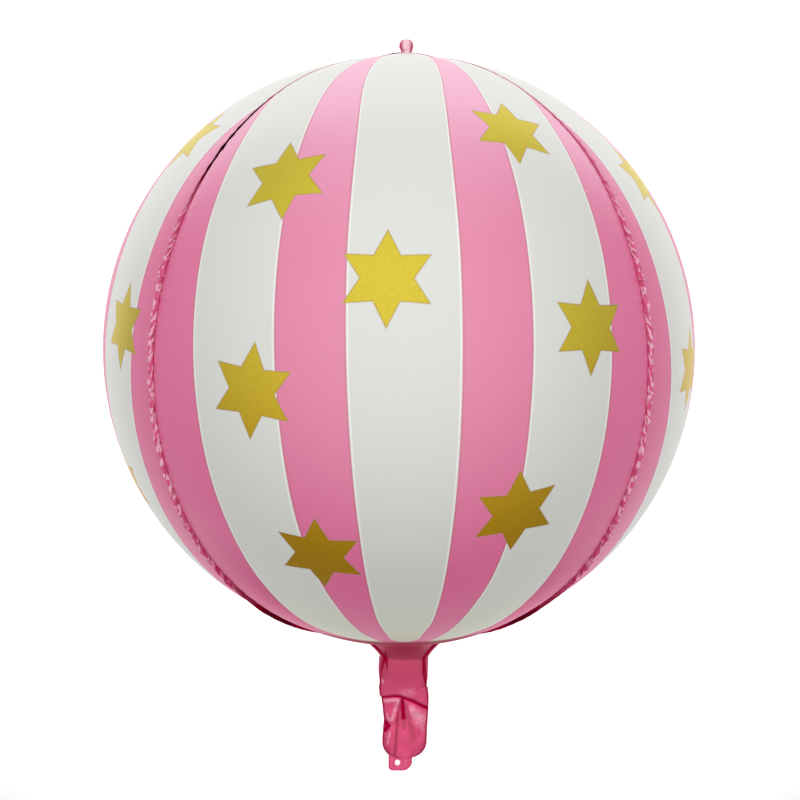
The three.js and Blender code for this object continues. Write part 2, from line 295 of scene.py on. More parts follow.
panels = {
    # print is how far the pattern sits to the side and up, in degrees, how far it is stretched, how
    # many degrees its stripes draw in towards the knob, and the size of its stars
    "front_panel": {"seams": (3, 0), "hasNeck": True, "print": (0, 0, 1, 0, 1)},
    "right_panel": {"seams": (0, 1), "hasNeck": False, "print": (-2.4, -0.3, 1.08, 2.5, 0.95)},
    "back_panel": {"seams": (1, 2), "hasNeck": True, "print": (0, 0, 1, 0, 1)},
    "left_panel": {"seams": (2, 3), "hasNeck": False, "print": (2.4, -2.65, 1.07, 4, 0.95)},
}
ballEnd = ball["radius"] - ball["endFlattening"]
knobFoot = ballEnd + ball["knobGather"]


# Values that stand beside a place in a list of user values, eased from one row to the next
def fromTable(table, where):
    for (low, *before), (high, *after) in zip(table, table[1:]):
        if where <= high:
            share = ease(where, low, high)
            return [mix(first, second, share) for first, second in zip(before, after)]
    return table[-1][1:]


# What a section has unless it says otherwise; where it gives its own painted shade for the seams, its welds
# are plain
plainSection = {
    "slope": 0.0,
    "dip": 0.0,
    "onNeck": 0.0,
    "funnel": 0.0,
    "fading": 1.0,
    "tone": 0.0,
    "edges": (1.0, 1.0),
}


def seamAngles(opening, lean=0.0):
    return [opening + lean, pi - opening, pi + opening, 2 * pi - opening]


def ballSection(latitude):
    angle = abs(degrees(latitude))
    radius = ball["radius"] - ball["endFlattening"] * ease(angle, *ball["flattenFrom"])
    radius += ball["knobGather"] * ease(degrees(latitude), *ball["gatherFrom"])
    across = radius * cos(latitude)
    fading = ease(angle, *ball["seamFade"])
    lean = mix(*ball["seamLean"], ease(angle, *ball["leanFrom"])) * (1 - ease(angle, *ball["leanFade"]))
    side = ball["knobOffset"] if latitude > 0 else ball["neckOffset"]
    return plainSection | {
        "y": radius * sin(latitude),
        "shift": side * ease(angle, *ball["offsetFrom"]),
        "halfWidth": across,
        "halfDepth": across,
        "seams": seamAngles(pi / 4, radians(lean)),
        "slope": latitude,
        "dip": ball["seamDip"] * (1 - fading) / cos(latitude) / across,
        "flange": flange["width"],
        "along": ball["radius"] * latitude,
        "latitude": latitude,
        "fading": fading,
        # painted shade beside the neck
        "tone": ball["neckEndShade"] * ease(-degrees(latitude), *ball["neckEndShadeFrom"]),
    }


def knobSections():
    sections = []
    for row in range(knob["rows"] + 1):
        share = row / knob["rows"]
        down = mix(knob["tipCut"], knob["length"], share)
        roundness = sqrt(1 - (1 - min(1, down / knob["rounding"])) ** 2)
        waist = ease(down, knob["length"] / 2, knob["length"])
        width = mix(knob["width"], knob["waist"], waist) * roundness
        sections.append(plainSection | {
            "y": knobFoot + knob["length"] - down + knob["foot"] * share,
            "shift": ball["knobOffset"],
            "halfWidth": width / 2,
            "halfDepth": width / 2 * knob["depth"] / knob["width"],
            "seams": seamAngles(pi / 4),
            "dip": knob["dip"],
            "flange": flange["endWidth"] * roundness / 2,
            "along": ball["radius"] * radians(92) + knob["length"] - down,
            "latitude": radians(92),
            "onNeck": -1.0,
            "seamShade": knob["seamShade"],
        })
    return sections


def funnelSections(start):
    slope = radians(ball["funnelTop"])
    downAlongBall = Vector((sin(slope), cos(slope)))
    foot = Vector((start["halfWidth"], -start["y"]))
    mouth = Vector((neck["topWidth"] / 2, ballEnd + neck["funnel"]))
    firstHandle = foot + downAlongBall * neck["fullness"] * neck["funnel"]
    lastHandle = Vector((mouth.x * neck["mouthFlare"], mouth.y - neck["mouthFullness"] * neck["funnel"]))
    curve = interpolate_bezier(foot, firstHandle, lastHandle, mouth, neck["funnelRows"] + 1)
    flatness = neck["topDepth"] / neck["topWidth"]
    sections = []
    for row, point in enumerate(curve[1:], 1):
        share = row / neck["funnelRows"]
        eased = ease(share, 0, 1)
        sections.append(plainSection | {
            "y": -point.y,
            "shift": mix(start["shift"], ball["neckOffset"], eased),
            "halfWidth": point.x,
            "halfDepth": point.x * mix(1, flatness, eased),
            "seams": seamAngles(mix(pi / 4, radians(neck["openSeam"]), eased)),
            "slope": mix(start["slope"], 0, eased),
            "dip": mix(start["dip"], 0, eased),
            "flange": mix(start["flange"] * neck["funnelFlange"], flange["endWidth"], eased),
            "along": start["along"] - neck["funnel"] * share,
            "latitude": radians(mix(ball["funnelTop"], -90, share)),
            "onNeck": max(0.01, eased),
            "funnel": 1.0,
            "tone": mix(ball["neckEndShade"], neck["topShade"], eased),
            "seamShade": neck["funnelSeamShade"],
        })
    return sections


def neckSection(down):
    share = (down - neck["funnel"]) / (neck["length"] - neck["funnel"])
    closing = clamp((down - neck["funnel"]) / (neck["gusset"] - neck["funnel"]))
    intoCorner = max(0, down - (neck["length"] - neck["corner"]))
    cornerLoss = neck["corner"] - sqrt(neck["corner"] ** 2 - intoCorner ** 2)
    opening = pi / 2
    if down < neck["gusset"] + 1e-6:
        opening = radians(mix(neck["openSeam"], neck["closedSeam"], closing))
    funnel = 1 - ease(down, neck["funnel"], neck["gusset"])
    left = fromTable(neck["leftEdge"], down / neck["length"])[0]
    right = fromTable(neck["rightEdge"], down / neck["length"])[0]
    return plainSection | {
        "y": -(ballEnd + down),
        "shift": ball["neckOffset"],
        "halfWidth": mix(neck["topWidth"], neck["endWidth"], share) / 2 - cornerLoss,
        "halfDepth": mix(neck["topDepth"], neck["depth"], ease(down, neck["funnel"], neck["flat"])) / 2,
        "seams": seamAngles(opening),
        "flange": flange["endWidth"],
        "along": -(ballEnd + down),
        "latitude": radians(-90),
        "onNeck": 1.0,
        "funnel": funnel,
        "tone": neck["topShade"] * funnel,
        "seamShade": neck["seamShade"],
        "edges": (1 - left / (neck["topWidth"] / 2), 1 - right / (neck["topWidth"] / 2)),
    }


def steps(start, end, count):
    return [mix(start, end, (index + 1) / count) for index in range(count)]


def allSections():
    top, bottom = radians(ball["top"]), radians(ball["funnelTop"])
    rows = ball["rows"]
    onBall = [ballSection(mix(top, bottom, row / rows)) for row in range(rows + 1)]
    cornerStart = neck["length"] - neck["corner"]
    turns = steps(0, asin(1 - neck["tipCut"] / neck["corner"]), neck["cornerRows"])
    downs = steps(neck["funnel"], neck["gusset"], neck["gussetRows"])
    downs += steps(neck["gusset"], cornerStart, neck["flatRows"])
    downs += [cornerStart + neck["corner"] * sin(turn) for turn in turns]
    return knobSections() + onBall + funnelSections(onBall[-1]) + [neckSection(down) for down in downs]


# Share of the radius at a point between two seams, where turn runs from -1 to 1
def bulge(turn, dip):
    seamShare = 1 - dip
    cosine = cos(pi / 4)
    arc = (seamShare ** 2 + 1 - 2 * seamShare * cosine) / (2 * (1 - seamShare * cosine))
    centre = 1 - arc
    angle = turn * pi / 4
    return centre * cos(angle) + sqrt(arc ** 2 - (centre * sin(angle)) ** 2)


# How many crinkles it is to a place on a weld. Here and below, what seam and side are multiplied by
# only makes the welds differ from each other
def crinklePhase(seam, along):
    wander = flange["wander"] * wobble(along / flange["wanderLength"], seam * 7.3)
    return along / flange["crinkle"] + wander


# Side to side wave of a crinkled weld, the same for the two panels that it joins
def crinkleWave(seam, along):
    least, added = flange["swing"]
    swing = least + added * abs(wobble(along / flange["swingLength"], seam * 3.1, 5.0))
    return asin(flange["sharpness"] * sin(2 * pi * crinklePhase(seam, along))) / (pi / 2) * swing


# Dents and ridges that run from a weld's crinkles out over a panel
def puckerWave(seam, side, along):
    least, added = skin["puckerStrength"]
    strength = max(0, least + added * wobble(along / skin["puckerLength"], seam * 5.7, side * 9.0))
    return sin(2 * pi * crinklePhase(seam, along) + 0.8 * side) * strength


def nearestOnLine(point, start, end):
    line = end - start
    share = clamp((point - start).dot(line) / line.length_squared)
    return start + line * share


# What folds and crumpling do at a point of the neck: the share of the leaf's height that they
# take away, and the tone, painted shade in the folds and painted highlights on the ridges
def neckRelief(name, across, down):
    point = Vector((across, down))
    half = Vector((neck["topWidth"] / 2, neck["length"]))
    cut = raised = paintedShade = paintedHighlight = 0.0
    for start, end, startWidth, endWidth, depth, tone in neckFolds.get(name, []):
        first, last = Vector(start) * half, Vector(end) * half
        nearest = nearestOnLine(point, first, last)
        width = mix(startWidth, endWidth, (nearest - first).length / (last - first).length)
        strength = exp(-((point - nearest).length / width) ** 2)
        cut = max(cut, depth * strength)
        raised = min(raised, depth * strength)
        paintedShade = max(paintedShade, tone * strength)
        paintedHighlight = min(paintedHighlight, tone * strength)
    size = neck["crumpleSize"]
    place = Vector((across / size, down / (size * neck["crumpleStretch"]), len(name)))
    near, nextNear = noise.voronoi(place)[0][:2]
    facets = 1 - clamp((nextNear - near) * neck["crumpleSharpness"])
    crumple = neck["crumple"] * facets * ease(down, *neck["crumpleFrom"])
    least, added = neck["ridgeHighlightStrength"]
    spotWidth, spotLength = neck["ridgeSpots"]
    paintedHighlight *= clamp(least + added * wobble(across / spotWidth, down / spotLength))
    return cut + raised + crumple, paintedShade + paintedHighlight * (1 - paintedShade)


# Height of a weld and its tone, the painted shade of its fold, in one section
def weldAt(seam, section):
    if "seamShade" in section:
        return section["flange"], section["seamShade"]
    latitude = degrees(section["latitude"])
    share, tone = fromTable(flange[flangeOfSeam[seam]], latitude)
    rough = ease(latitude, *flange["smoothBelow"])
    ragged = flange["ragged"] * (1 - section["fading"]) * mix(flange["smoothRagged"], 1, rough)
    uneven = wobble(section["along"] / flange["raggedLength"], seam * 2.9, 2.0)
    return section["flange"] * share * (1 + ragged * uneven), tone


# Every place in one outline of a panel, each with what its foil needs to know: its direction round
# the ball, how high up the weld it is, how near the seam it is, and its tone, the painted shade or highlight
# there
def panelRing(name, panel, order, section):
    first, last = panel["seams"]
    fromAngle = section["seams"][first] - (2 * pi if last == 0 else 0)
    toAngle = section["seams"][last]
    middle = order * pi / 2
    outward = Vector((sin(middle), cos(middle)))
    gap = ball["gap"]
    width, depth = section["halfWidth"], section["halfDepth"]

    def onSkin(turn):
        angle = mix(fromAngle, toAngle, (turn + 1) / 2)
        share = bulge(turn, section["dip"])
        edge = section["edges"][0 if sin(angle) < 0 else 1]
        return Vector((width * sin(angle) * share * edge, depth * cos(angle) * share)), angle

    def place(point, lift=0.0):
        return Vector((point.x + section["shift"], section["y"] + lift, point.y + ball["axisHeight"]))

    strip = (onSkin(-1)[0] - onSkin(1)[0]).length
    thickness = min(flange["thickness"], flange["mostOfStrip"] * strip - gap / 2)
    full = 1 - section["fading"]
    rough = ease(degrees(section["latitude"]), *flange["smoothBelow"])

    def weld(side):
        foot, angle = onSkin(side)
        along = foot.normalized()
        aside = Vector((along.y, -along.x))
        inward = aside if aside.dot(outward) > 0 else -aside
        seam = panel["seams"][0 if side < 0 else 1]
        height, tone = weldAt(seam, section)
        waver = crinkleWave(seam, section["along"]) * mix(flange["endWaver"], 1, full)
        waver *= min(1, height / flange["width"])
        waver *= mix(flange["smoothWaver"], 1, rough)

        def at(level, offset):
            rise = height * level
            distance = foot.length + rise * cos(section["slope"])
            swing = mix(flange["rootWaver"], flange["waver"], level) * waver
            point = along * distance + inward * offset + aside * swing
            return place(point, rise * sin(section["slope"])), angle - middle, level, 1.0, tone

        levels = [index / flange["steps"] for index in range(flange["steps"] + 1)]
        ring = [at(level, gap / 2) for level in levels]
        ring += [at(level, gap / 2 + thickness) for level in reversed(levels)]
        return ring, abs(along.cross(outward)), tone

    before, openness, toneBefore = weld(-1)
    after, _, toneAfter = weld(1)
    edgeTurn = (gap / 2 + thickness) / (strip / 2)
    columns = skin["columns"]
    crowding = skin["crowding"] * mix(skin["endCrowding"], 1, full)
    arcLength = width * (toAngle - fromAngle) / 2
    onNeck = section["onNeck"]
    middleSkin = []
    for index in range(1, columns):
        even = 2 * index / columns - 1
        turn = (even + crowding * sin(pi * even) / pi) * (1 - edgeTurn)
        point, angle = onSkin(turn)
        away = (1 - abs(turn)) * arcLength
        side = 0 if turn < 0 else 1
        seam = panel["seams"][side]
        shoulder = skin["shoulder"] * (1 - exp(-away / skin["shoulderReach"]))
        shoulder *= exp(-away / skin["shoulderEnd"])
        pucker = skin["pucker"] * puckerWave(seam, side, section["along"])
        pucker *= (1 - exp(-away / skin["puckerStart"])) * exp(-away / skin["puckerEnd"])
        lift = (shoulder + pucker) * full
        normal = Vector((sin(angle) * depth, cos(angle) * width)).normalized()
        tone = section["tone"]
        if onNeck > 0 and panel["hasNeck"]:
            relief, foldTone = neckRelief(name, point.x, -section["y"] - ballEnd)
            relief *= ease(onNeck, 0.9, 1)
            tone = max(tone, foldTone) if foldTone > 0 else tone + foldTone
            point = point - outward * point.dot(outward) * relief
        if onNeck < 0:
            size = knob["crumpleSize"]
            lift += knob["crumple"] * wobble(point.x / size + order * 5, section["y"] / size)
        # painted shade of the fold beside each weld, darkening the skin next to it
        seamShade = toneAfter if side else toneBefore
        reach = skin["foldIn"] * mix(1, skin["funnelFold"], section["funnel"])
        tone += (1 - tone) * seamShade * exp(-(away / reach) ** 2)
        point = point + normal * lift * cos(section["slope"])
        near = exp(-away / skin["nearWeld"])
        middleSkin.append((place(point, lift * sin(section["slope"])), angle - middle, 0.0, near, tone))
    innerEdge = outward * (gap / 2 / openness)
    axis = (place(innerEdge), 0.0, 0.0, 1.0, 0.0)
    return [axis] + before + middleSkin + list(reversed(after)) + [axis]


# Where a line from the hole's middle meets the tab's rounded outline
def tabEdge(centre, way):
    v = tab
    left = ball["neckOffset"] + v["offset"] - v["width"] / 2
    right = left + v["width"]
    top = -(ballEnd + neck["length"]) + v["overlap"]
    bottom = -(ballEnd + neck["length"] + v["length"])
    low, high = 0.0, v["farthest"]
    for _ in range(40):
        reach = (low + high) / 2
        point = centre + way * reach
        radius = v["corner"] if point.x < centre.x else v["farCorner"]
        inX = clamp(point.x, left + radius, right - radius)
        inY = clamp(point.y, bottom + radius, top)
        if (point - Vector((inX, inY))).length > radius or point.y > top:
            high = reach
        else:
            low = reach
    return centre + way * low


# What the foil's material needs to know at a vertex
def setFoil(vert, layers, direction, zones, weld):
    for layer, value in zip(layers, (direction, zones, weld)):
        vert[layer] = value


# One leaf of the tab, from the rim of the hole out to the outline and given its thickness
def addTab(bm, layers, above):
    v = tab
    centre = Vector((ball["neckOffset"] + v["holeOffset"], -(ballEnd + neck["length"] + v["holeInset"])))
    hole = Vector(v["hole"]) / 2
    side = 1 if above else -1
    level = ball["axisHeight"] + side * ball["gap"] / 2
    made = bmesh.ops.create_circle(bm, segments=v["segments"], radius=1)["verts"]
    onCircle = set(made)
    rim = [edge for edge in bm.edges if onCircle.issuperset(edge.verts)]  # in the same order each run
    faces = []
    for ring, (share, tone) in enumerate(v["rings"]):
        if ring:
            grown = bmesh.ops.extrude_edge_only(bm, edges=rim)["geom"]
            rim = [part for part in grown if isinstance(part, bmesh.types.BMEdge) and part.is_boundary]
            faces += [part for part in grown if isinstance(part, bmesh.types.BMFace)]
            made = {vert for edge in rim for vert in edge.verts}
        for vert in made:
            if not ring:
                way = Vector((vert.co.x, vert.co.y)).normalized()
            else:
                away = Vector((vert.co.x * 1000, vert.co.y * 1000)) - centre
                way = Vector((away.x / hole.x, away.y / hole.y)).normalized()
            inner = centre + way * hole
            place = inner.lerp(tabEdge(centre, way), share)
            vert.co = Vector((place.x, place.y, level)) * mm
            setFoil(vert, layers, (0, -1, 0), (0, 1, 0), (0, tone, 1))
    shell = bmesh.ops.extrude_face_region(bm, geom=faces)["geom"]
    lifted = [part for part in shell if isinstance(part, bmesh.types.BMVert)]
    bmesh.ops.translate(bm, verts=lifted, vec=(0, 0, side * v["thickness"] * mm))


def buildPanel(name, order, material):
    panel = panels[name]
    sections = allSections()
    if not panel["hasNeck"]:
        flatRows = neck["flatRows"] + neck["cornerRows"]
        sections = sections[:len(sections) - flatRows]
    rings = [panelRing(name, panel, order, section) for section in sections]
    columns = len(rings[0]) - 1
    rows = len(rings) - 1
    bm = bmesh.new()
    bmesh.ops.create_grid(bm, x_segments=columns, y_segments=rows, size=1)
    kept = ("foilDirection", "foilZones", "foilWeld")
    for label in kept:
        bm.verts.layers.float_vector.new(label)
    layers = [bm.verts.layers.float_vector[label] for label in kept]
    east, north, stretch, spread, starSize = panel["print"]
    for vert in bm.verts:
        column = round((vert.co.x + 1) / 2 * columns)
        row = round((1 - vert.co.y) / 2 * rows)
        point, azimuth, level, near, tone = rings[row][column]
        section = sections[row]
        latitude = max(-pi / 2, (section["latitude"] - radians(north)) / stretch)
        drawnIn = ease(degrees(latitude), *ball["drawInFrom"])
        azimuth += radians(spread) * drawnIn * sin(4 * azimuth) - radians(east)
        direction = (cos(latitude) * sin(azimuth), sin(latitude), cos(latitude) * cos(azimuth))
        onNeck = section["onNeck"]
        if onNeck < 0:
            direction = (0, -1, 0)  # the knob is all pink, as the ball is at its neck's end
            onNeck = -1.0 if panel["hasNeck"] else -0.5
        setFoil(vert, layers, direction, (level, onNeck, near), (section["along"] * mm, tone, starSize))
        vert.co = Vector((point.x, point.y, max(0.0, point.z))) * mm
    bmesh.ops.remove_doubles(bm, verts=bm.verts, dist=1e-6)
    openEdges = [edge for edge in bm.edges if edge.is_boundary]
    bmesh.ops.holes_fill(bm, edges=openEdges, sides=0)
    if panel["hasNeck"]:
        addTab(bm, layers, order == 0)
    bmesh.ops.recalc_face_normals(bm, faces=bm.faces)
    mesh = bpy.data.meshes.new(name + "_foil")
    bm.to_mesh(mesh)
    bm.free()
    mesh.shade_smooth()
    mesh.set_sharp_from_angle(angle=radians(skin["sharpAngle"]))
    mesh.materials.append(material)
    piece = bpy.data.objects.new(name + "_foil", mesh)
    bpy.context.scene.collection.objects.link(piece)
    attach(piece, "root")
    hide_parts(name)
    print("built", piece.name, len(mesh.polygons), "faces")
    return piece


# Materials

def addNode(tree, kind, inputs=None, **settings):
    node = tree.nodes.new(kind)
    for name, value in settings.items():
        setattr(node, name, value)
    for name, value in (inputs or {}).items():
        if isinstance(value, bpy.types.NodeSocket):
            tree.links.new(value, node.inputs[name])
        else:
            node.inputs[name].default_value = value
    return node


def reckon(tree, operation, *values):
    return addNode(tree, "ShaderNodeMath", dict(enumerate(values)), operation=operation).outputs[0]


def reckonVector(tree, operation, *values):
    node = addNode(tree, "ShaderNodeVectorMath", dict(enumerate(values)), operation=operation)
    return node.outputs["Value" if operation in ("DOT_PRODUCT", "LENGTH") else "Vector"]


def blendColours(tree, share, first, second):
    node = addNode(tree, "ShaderNodeMix", {0: share, 6: first, 7: second}, data_type="RGBA")
    return node.outputs[2]


def blendValues(tree, share, first, second):
    return addNode(tree, "ShaderNodeMix", {0: share, 2: first, 3: second}).outputs[0]


# 0 below the edge and 1 above it, with a soft step of that width
def softStep(tree, value, edge, width):
    return addNode(tree, "ShaderNodeMapRange", {
        "Value": value, "From Min": edge - width / 2, "From Max": edge + width / 2,
    }, interpolation_type="SMOOTHSTEP").outputs[0]


def newGroup(name, inputs, outputs):
    group = bpy.data.node_groups.new(name, "ShaderNodeTree")
    for label, kind in inputs.items():
        group.interface.new_socket(label, in_out="INPUT", socket_type=kind)
    for label, kind in outputs.items():
        group.interface.new_socket(label, in_out="OUTPUT", socket_type=kind)
    start = group.nodes.new("NodeGroupInput")
    end = group.nodes.new("NodeGroupOutput")
    return group, start.outputs, end.inputs


stars = {
    # shares of the ball's radius
    "reach": 0.128,  # middle to a point
    "notch": 0.069,  # middle to a notch
    "softness": 0.0022,
    "line": 0.0022,  # half width of the darker line round it
    "lineSoftness": 0.002,
    # azimuth from the panel's middle, latitude and clockwise turn of each, in degrees
    "places": [
        (-1.9, 17.4, 0),
        (-21.8, 33.5, -11),
        (25.8, 44.0, 11),
        (31.5, 9.5, 4),
        (-22.6, 0.1, 4),
        (-13.8, -27.1, 2),
        (19.6, -19.0, -4),
    ],
}
stripes = {
    # latitude and half width of each edge from the panel's middle, both in degrees
    "inner": [(-60, 4.2), (-52, 4.7), (-46, 6.2), (-40, 6.8), (-20, 7.65), (0, 8.3), (20, 8.85),
              (40, 9.5), (50, 10.6), (60, 12.4), (68, 13.9), (74, 16), (82, 26), (90, 40)],
    "middle": [(-60, 5), (-57, 7.5), (-54, 10), (-50, 12.2), (-40, 15), (-30, 17), (0, 19.2),
               (30, 20.9), (50, 22.3), (60, 23.4), (76, 24), (90, 24)],
    "outer": [(-60, 9), (-57, 15), (-54, 23.5), (-50, 28), (-40, 30.8), (-20, 33.1), (0, 34.5),
              (20, 36.2), (40, 38.7), (50, 41.6), (56, 45), (90, 60)],
    "innerEnd": (-52.9, -56.5),  # where the middle stripe starts to round off, and where it ends
    "allPink": -57.3,
    "allPinkSoftness": 0.3,
    # the stripes' own middle is this far to the right at the equator, runs to the left on the way
    # to that latitude, and bends back
    "middleAt": 0.9,
    "middleLean": 0.9,
    "middleBend": 0.65,
    "leanLatitude": 60,
    "softness": 0.16,
    "line": 0.32,  # width of the darker line inside a pink stripe's edge, in degrees
    "rimAt": -0.7,  # where the pale line outside it runs, in such widths
}
foil = {
    "white": (0.60, 0.605, 0.56, 1),
    "pink": (0.672, 0.022, 0.21, 1),
    "deepPink": (0.69, 0.014, 0.14, 1),
    "edgePink": (0.50, 0.008, 0.10, 1),
    "gold": (0.605, 0.49, 0.05, 1),
    "shadedGold": (0.555, 0.31, 0.01, 1),  # painted shade of the stars towards the neck
    "goldFade": (-30, 20),  # latitudes between which the one turns into the other
    "goldEdge": (0.34, 0.19, 0.03, 1),
    "rim": (0.84, 0.84, 0.80, 1),  # of the white beside a stripe
    # the knob's pink, made paler by painted sheen
    "knobPinkAndSheen": (0.85, 0.48, 0.58, 1),
    "weldPink": (0.70, 0.06, 0.22, 1),
    # painted highlight: glints on the crinkles of the welds
    "glint": (0.95, 0.62, 0.74, 1),
    # painted shade in the crinkles and at the foot of the welds
    "crinkleShade": (0.42, 0.0, 0.05, 1),
    # painted highlight on the neck's ridges, then painted shade in folds: deep red on the ball, deeper red
    # on the neck, nearly black in the seams' gaps
    "ridgeHighlight": (0.86, 0.26, 0.42, 1),
    "fold": (0.34, 0.0, 0.035, 1),
    "neckFoldShade": (0.44, 0.0, 0.05, 1),
    "gap": (0.03, 0.0, 0.003, 1),
    # painted shade: the white darker towards the neck
    "shadedWhite": (0.585, 0.595, 0.44, 1),
    "whiteFade": (-56, -34),
    # painted sheen: the pink paler towards the knob
    "sheenPink": (0.756, 0.254, 0.446, 1),
    "sheenFade": (20, 64),
    "bareFade": (-60.5, -57.3),  # latitudes where the print ends and the neck's pink begins
    "seamMetal": 0.9,  # of the stripe beside a seam, towards the neck
    "seamMetalFade": (-48, -24),
    "glintFade": (-48, -34, 22, 42),
    "footFade": (50, 66),
    "crinkles": 230,  # along a metre of weld
    "glints": 0.52,  # the higher, the fewer
    "crinkleShades": 0.60,
    "spotSoftness": 0.07,
    "spotLean": 0.9,
    "spotHeight": 1.1,
    # where each begins or ends, and how softly
    "weldFrom": (0.1, 0.1),
    "footFrom": (0.78, 0.14),
    "footTo": (0.2, 0.2),
    # share of its own colour that each of these gives
    "lineShare": 0.8,
    "rimShare": 0.6,
    "goldEdgeShare": 0.5,
    "weldShare": 0.8,
    "glintShare": 0.9,
    "crinkleShadeShare": 0.8,
    # what the tone at a vertex is multiplied by for the painted shade, and what is added for the nearly
    # black painted shade of the folds
    "foldDark": 1.6,
    "foldDeep": (2.5, -1.5),
    "grain": 1100,
    "grainBump": 0.03,
    "grainDepth": 0.0004,
    "speckle": (0.06, 0.16, 0.4),  # in the white, the pink and the gold
    "neckMetal": 0.7,
    "roughness": 0.42,
    "weldRoughness": 0.22,
    "foldRoughness": 0.6,
    "ior": 2.9,
}


def starGroup(v):
    inputs = dict.fromkeys(("Direction", "Middle", "Across", "Up"), "NodeSocketVector")
    inputs["Size"] = "NodeSocketFloat"
    group, start, end = newGroup("goldStar", inputs, {"Depth": "NodeSocketFloat"})

    across = reckonVector(group, "DOT_PRODUCT", start["Direction"], start["Across"])
    up = reckonVector(group, "DOT_PRODUCT", start["Direction"], start["Up"])
    facing = reckonVector(group, "DOT_PRODUCT", start["Direction"], start["Middle"])
    angle = reckon(group, "PINGPONG", reckon(group, "ARCTAN2", across, up), pi / 6)
    squares = [reckon(group, "MULTIPLY", value, value) for value in (across, up)]
    distance = reckon(group, "SQRT", reckon(group, "ADD", *squares))
    distance = reckon(group, "DIVIDE", distance, start["Size"])
    along = reckon(group, "MULTIPLY", distance, reckon(group, "COSINE", angle))
    aside = reckon(group, "MULTIPLY", distance, reckon(group, "SINE", angle))
    # distance to the straight edge from a point of the star to the next notch
    edge = Vector((v["notch"] * sin(pi / 6), v["reach"] - v["notch"] * cos(pi / 6))).normalized()
    inward = reckon(group, "MULTIPLY", reckon(group, "SUBTRACT", v["reach"], along), edge.x)
    depth = reckon(group, "SUBTRACT", inward, reckon(group, "MULTIPLY", aside, edge.y))
    behind = reckon(group, "LESS_THAN", facing, 0.5)
    group.links.new(reckon(group, "SUBTRACT", depth, behind), end["Depth"])
    return group


